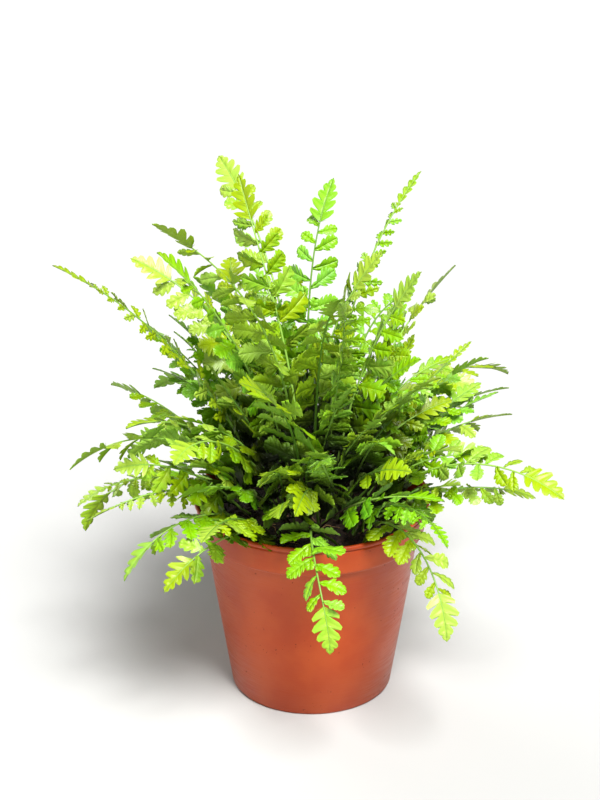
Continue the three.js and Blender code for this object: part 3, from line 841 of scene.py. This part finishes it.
class FERN_OT_peat(bpy.types.Operator):
    """Fill the pot with crumbly peat, with spots of moss and dry fibres"""

    bl_idname = "fern.peat"
    bl_label = "Make peat"

    @staticmethod
    def level(x, y):
        """Height of the peat's surface."""
        radius = math.hypot(x, y)
        rise = 1.0 - smoothstep(radius, MOUND_RADIUS - 4.0, 0.84 * SOIL_EDGE)
        coarse = noise.noise(Vector((x / 9.0, y / 9.0, 3.0)))
        fine = noise.noise(Vector((x / 2.6, y / 2.6, 7.0)))
        return SOIL_LEVEL + SOIL_MOUND * rise + 1.1 * coarse + 0.6 * fine

    def scatter(self, rng, count, within):
        """Spots on the surface, with their height."""
        for _ in range(count):
            radius = within * math.sqrt(rng.random())
            turned = rng.uniform(0.0, math.tau)
            x, y = radius * math.cos(turned), radius * math.sin(turned)
            yield Vector((x, y, self.level(x, y)))

    def add_lump(self, bm, rng, spot, size, detail, material):
        """One uneven lump, part sunk in the surface."""
        squash = Matrix.Diagonal([size * rng.uniform(0.6, 1.3) for _ in range(3)]).to_4x4()
        turned = Matrix.Rotation(rng.uniform(0.0, 6.3), 4, (rng.random(), rng.random(), 1.0))
        matrix = Matrix.Translation(spot) @ turned @ squash
        lump = bmesh.ops.create_icosphere(bm, subdivisions=detail, radius=1.0, matrix=matrix)["verts"]
        for vert in lump:
            vert.co += (vert.co - spot) * rng.uniform(-0.28, 0.2)
            for face in vert.link_faces:
                face.material_index = material
                face.smooth = True

    def execute(self, context):
        settings = context.scene.fern_peat
        rng = random.Random(PEAT_SEED)
        bm = bmesh.new()
        floor = FOOT_LIFT + WALL + GAP
        body = [
            (0.0, floor),
            (FOOT_RADIUS - WALL - GAP - 0.4, floor),
            (WALL_TOP_RADIUS - WALL - GAP - 0.3, BAND_FOOT - 0.4),
            (SOIL_EDGE, BAND_FOOT + 1.7),
        ]
        for ring in range(SOIL_RINGS + 1):
            body.append((SOIL_EDGE * (1.0 - ring / SOIL_RINGS), SOIL_LEVEL))
        turn_profile(bm, body, SOIL_SIDES)
        for vert in bm.verts:
            if abs(vert.co.z - SOIL_LEVEL) < 0.01:
                vert.co.z = self.level(vert.co.x, vert.co.y)
        crease(bm, 60.0)
        for spot in self.scatter(rng, settings.crumbs, SOIL_EDGE - 2.0):
            size = rng.choice((0.5, 0.7, 0.9, 1.2, 1.7)) * rng.uniform(0.8, 1.2)
            self.add_lump(bm, rng, spot, size, 1, 0)
        for spot in self.scatter(rng, settings.moss, SOIL_EDGE - 4.0):
            for _ in range(rng.randint(3, 7)):
                beside = spot + Vector((rng.gauss(0.0, 1.3), rng.gauss(0.0, 1.3), 0.1))
                self.add_lump(bm, rng, beside, rng.uniform(0.5, 1.0), 2, 1)
        for spot in self.scatter(rng, settings.fibres, SOIL_EDGE - 9.0):
            heading = rng.uniform(0.0, math.tau)
            bend = rng.uniform(-0.18, 0.18)
            length = rng.uniform(4.0, 12.0)
            at = spot.copy()
            stations = []
            for step in range(FIBRE_STEPS + 1):
                heading += bend
                along = Vector((math.cos(heading), math.sin(heading), 0.0))
                side = Vector((-along.y, along.x, 0.0))
                lift = self.level(at.x, at.y) + 0.35 + 0.4 * math.sin(step * 0.9)
                width = 0.28 * (1.0 - 0.5 * abs(2.0 * step / FIBRE_STEPS - 1.0))
                stations.append((Vector((at.x, at.y, lift)), side * width, Vector((0, 0, 0.2))))
                at += along * length / FIBRE_STEPS
            sweep_tube(bm, stations, FIBRE_SIDES, 2)
        materials = [
            build_material("moist_peat", peat_surface, settings),
            build_material("cushion_moss", moss_surface),
            build_material("dry_plant_fibre", fibre_surface),
        ]
        peat = finished("peat_filling", bm, materials)
        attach(peat, "root")
        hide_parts("soil")
        return {"FINISHED"}


class FERN_OT_fronds(bpy.types.Operator):
    """Grow the leafy fronds along the ribs of the solid ones"""

    bl_idname = "fern.fronds"
    bl_label = "Grow fronds"

    def add_stalk(self, bm, frond):
        """The stalk and rib as one tapering tube, from the peat to near the tip's point."""
        stations = []
        for s in [*(i / STALK_STEPS for i in range(STALK_STEPS)), STALK_END]:
            at, _, left, up = frond.at(s)
            along = min(s / frond.tip_start, 1.0)
            beyond = max(0.0, s - frond.tip_start) / (1.0 - frond.tip_start)
            slim = (1.0 - 0.8 * beyond) * (1.0 + 0.35 * max(0.0, 1.0 - s / 0.12))
            width = lerp(STEM_WIDTH * frond.stem_size, TIP_WIDTH, along) / 2 * slim
            through = lerp(STEM_THICKNESS * frond.stem_size, TIP_THICKNESS, along) / 2 * slim
            stations.append((at - up * 0.15 * through, left * width, up * through))
        return sweep_tube(bm, stations, STALK_SIDES, 1)

    def leaflet_place(self, frond, rng, side, s, angle, length, width, fold):
        """How a leaflet's own points lie in space: folded, arched and a little waved."""
        at, forward, left, up = frond.at(s)
        outward = left * side
        flat = forward * math.cos(angle) + outward * math.sin(angle)
        across = forward * math.sin(angle) - outward * math.cos(angle)
        along = flat * math.cos(fold) - up * math.sin(fold)
        normal = up * math.cos(fold) + flat * math.sin(fold)
        twist = math.radians(rng.uniform(-20.0, 38.0))
        across, normal = (
            across * math.cos(twist) + normal * math.sin(twist),
            normal * math.cos(twist) - across * math.sin(twist),
        )
        arch = rng.uniform(0.0, 0.38)
        hook = rng.uniform(-0.05, 0.12)
        trough = rng.uniform(-0.05, 0.34)
        wave = rng.uniform(0.014, 0.04)
        swing = rng.uniform(0.0, math.tau)

        def place(x, y, number):
            rise = trough * abs(y) * width - arch * length * x * x
            rise += wave * length * math.sin(1.9 * number + swing) * abs(y) * 2.0
            sideways = y * width + hook * length * x * x
            return at + along * (x * length) + across * sideways + normal * rise

        return place, normal

    @staticmethod
    def lobes(rng, parted, size):
        """Where a leaflet's round lobes start, on its front (1) or its rear (-1), and their sizes."""
        if parted:
            for front in (1, -1):
                yield rng.uniform(0.06, 0.12), front, rng.uniform(0.36, 0.44)
                yield rng.uniform(0.28, 0.36), front, rng.uniform(0.3, 0.38)
            return
        for front, least in ((1, LOBED_SIZE), (-1, TWO_LOBED_SIZE)):
            if size > least and (front > 0 or rng.random() < 0.6):
                yield rng.uniform(0.1, 0.16), front, rng.uniform(0.34, 0.44)

    @staticmethod
    def lobe_place(place, rng, length, width, start, front, size):
        """The same as leaflet_place for a round lobe that stands apart on a leaflet."""
        angle = math.radians(rng.uniform(44.0, 62.0))

        def lobe(x, y, number):
            forward = x * size
            sideways = y * size * 0.8
            along = forward * math.cos(angle) - front * sideways * math.sin(angle)
            across = front * forward * math.sin(angle) + sideways * math.cos(angle)
            return place(start + along / length, across / width, number)

        return lobe

    def tip_place(self, frond, rng, width):
        """How the leafy tip's points lie: along the rib, with its teeth a little raised."""
        trough = rng.uniform(0.08, 0.26)
        swing = rng.uniform(0.0, math.tau)

        def place(x, y, number):
            at, _, left, up = frond.at(lerp(frond.tip_start, 1.0, x))
            rise = trough * abs(y) * width + 0.5 * math.sin(1.7 * number + swing) * abs(y) * 2.0
            return at + left * (y * width) + up * rise

        return place

    def dress(self, layers, blade, tone, age, along):
        """Stores what the leaf's material reads on each corner of a blade."""
        vein, growth = layers
        *skins, veins = blade
        for under, faces in enumerate(skins):
            for face in faces:
                face.smooth = True
                for loop in face.loops:
                    number, outward = veins[loop.vert]
                    loop[vein] = (number, outward, float(under))
                    loop[growth] = (tone, age, along)

    def grow(self, bm, layers, frond, thickness):
        """One frond: its stalk, its leaflets and its tip."""
        rng = random.Random(FROND_SEED + frond.index)
        age = rng.uniform(0.02, 0.3) if rng.random() < 0.3 else rng.uniform(0.3, 0.85)
        tone = rng.random()
        for face in self.add_stalk(bm, frond):
            for loop in face.loops:
                along = (loop.vert.co - frond.root).length / frond.length
                loop[layers[1]] = (tone, age, along)
        kind = KINDS[frond.kind]
        parted = frond.kind != "fine" and rng.random() < 0.5
        for side, s, angle, length, width, fold, size in frond.leaflets():
            part = parted and size > PARTED_SIZE
            large = length > FULL_TEETH * kind.leaflet
            shapes = PARTED_LEAFLETS if part else LEAFLETS if large else SMALL_LEAFLETS
            shape = shapes[frond.kind]
            place, normal = self.leaflet_place(frond, rng, side, s, angle, length, width, fold)
            blade = add_blade(bm, shape, place, normal * thickness, rng, LEAFLET_NECK / width)
            leaf_age = min(max(age + rng.uniform(-0.12, 0.12) - 0.25 * s, 0.0), 1.0)
            leaf_tone = rng.random()
            self.dress(layers, blade, leaf_tone, leaf_age, s)
            for start, front, share in self.lobes(rng, part, size):
                lobe = self.lobe_place(place, rng, length, width, start, front, share * length)
                blade = add_blade(bm, LOBE, lobe, normal * thickness, rng, LOBE_NECK)
                self.dress(layers, blade, leaf_tone, leaf_age, s)
        width = kind.tip_width * frond.leaf_size
        up = frond.at(lerp(frond.tip_start, 1.0, 0.4))[-1]
        place = self.tip_place(frond, rng, width)
        blade = add_blade(bm, TIPS[frond.kind], place, up * thickness, rng, LEAFLET_NECK / width)
        self.dress(layers, blade, rng.random(), max(age - 0.3, 0.0), 1.0)

    def grow_tuft(self, node, fronds, thickness, finishes):
        """The fronds of one tuft, as the piece that stands for its solid."""
        bm = bmesh.new()
        layers = [bm.loops.layers.float_vector.new(name) for name in ("vein", "growth")]
        for frond in fronds:
            self.grow(bm, layers, frond, thickness)
        skins = [vert for vert in bm.verts if vert.is_boundary]
        bmesh.ops.remove_doubles(bm, verts=skins, dist=1e-4)
        bmesh.ops.recalc_face_normals(bm, faces=bm.faces)
        for edge in bm.edges:
            sides = [face.loops[0][layers[0]].z for face in edge.link_faces]
            edge.smooth = len(set(sides)) < 2
        piece = finished(f"leafy_{node}", bm, finishes)
        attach(piece, "root")
        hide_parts(node)

    def execute(self, context):
        settings = context.scene.fern_fronds
        names = {"broad": "broad_leaflets", "cut": "cut_leaflets", "fine": "feathery_leaflets"}
        leaves = {kind: build_material(names[kind], leaf_surface, settings) for kind in names}
        stalk = build_material("living_stalk", stalk_surface, settings)
        for tuft in range(TUFT_COUNT):
            kind = kind_of(tuft)
            node = f"fronds_{tuft + 1:02d}_{kind}"
            corners = solid_corners(node)
            grown_frond = find_frond(tuft, corners)
            fronds = [grown_frond, find_frond(tuft, corners, stem=grown_frond)]
            self.grow_tuft(node, fronds, settings.thickness / MM, [leaves[kind], stalk])
        return {"FINISHED"}


class FERN_OT_stage(bpy.types.Operator):
    """Set up the paper floor, the soft light and the camera"""

    bl_idname = "fern.stage"
    bl_label = "Set up studio"

    def execute(self, context):
        settings = context.scene.fern_stage
        bm = bmesh.new()
        bmesh.ops.create_circle(bm, cap_ends=True, segments=96, radius=FLOOR_RADIUS / MM)
        paper = build_material("studio_paper", paper_surface, settings)
        floor = finished("studio_floor", bm, [paper])

        world = bpy.data.worlds.new("white_surround")
        world.use_nodes = True
        surround = world.node_tree.nodes["Background"]
        surround.inputs[0].default_value = (1.0, 1.0, 1.0, 1.0)
        surround.inputs[1].default_value = settings.sky
        context.scene.world = world
        for name, place, strength, spread in LIGHTS:
            light = bpy.data.lights.new(name, "SUN")
            light.energy = strength * settings.key
            light.angle = spread * settings.key_spread
            lamp = bpy.data.objects.new(name, light)
            lamp.location = place
            lamp.rotation_euler = (-Vector(place)).to_track_quat("-Z", "Y").to_euler()
            context.scene.collection.objects.link(lamp)

        camera = bpy.data.cameras.new("camera")
        camera.sensor_fit = "VERTICAL"
        camera.sensor_height = SENSOR
        camera.lens = SENSOR * settings.distance / settings.view_height
        viewer = bpy.data.objects.new("camera", camera)
        flat, rise = math.cos(settings.elevation), math.sin(settings.elevation)
        aside, ahead = math.sin(settings.azimuth), math.cos(settings.azimuth)
        back = Vector((-aside * flat, -ahead * flat, rise))
        viewer.location = Vector(VIEW_TARGET) + back * settings.distance
        viewer.rotation_euler = (-back).to_track_quat("-Z", "Y").to_euler()
        context.scene.collection.objects.link(viewer)
        context.scene.camera = viewer
        context.scene.view_settings.view_transform = "Standard"
        return {"FINISHED"}


class FERN_PT_panel(bpy.types.Panel):
    """The fern's pieces, with their settings"""

    bl_label = "Potted fern"
    bl_idname = "FERN_PT_panel"
    bl_space_type = "VIEW_3D"
    bl_region_type = "UI"
    bl_category = "Fern"

    def draw(self, context):
        for group, _, operator in GROUPS:
            box = self.layout.box()
            settings = getattr(context.scene, group)
            for name in settings.__annotations__:
                box.prop(settings, name)
            box.operator(operator.bl_idname)


GROUPS = (
    ("fern_pot", PotSettings, FERN_OT_pot),
    ("fern_peat", PeatSettings, FERN_OT_peat),
    ("fern_fronds", FrondSettings, FERN_OT_fronds),
    ("fern_stage", StageSettings, FERN_OT_stage),
)


def register():
    for name, settings, operator in GROUPS:
        bpy.utils.register_class(settings)
        bpy.utils.register_class(operator)
        setattr(bpy.types.Scene, name, bpy.props.PointerProperty(type=settings))
    bpy.utils.register_class(FERN_PT_panel)


def unregister():
    bpy.utils.unregister_class(FERN_PT_panel)
    for name, settings, operator in reversed(GROUPS):
        delattr(bpy.types.Scene, name)
        bpy.utils.unregister_class(operator)
        bpy.utils.unregister_class(settings)


def main():
    register()
    bpy.ops.fern.stage()
    bpy.ops.fern.pot()
    bpy.ops.fern.peat()
    bpy.ops.fern.fronds()


if __name__ == "__main__":
    main()
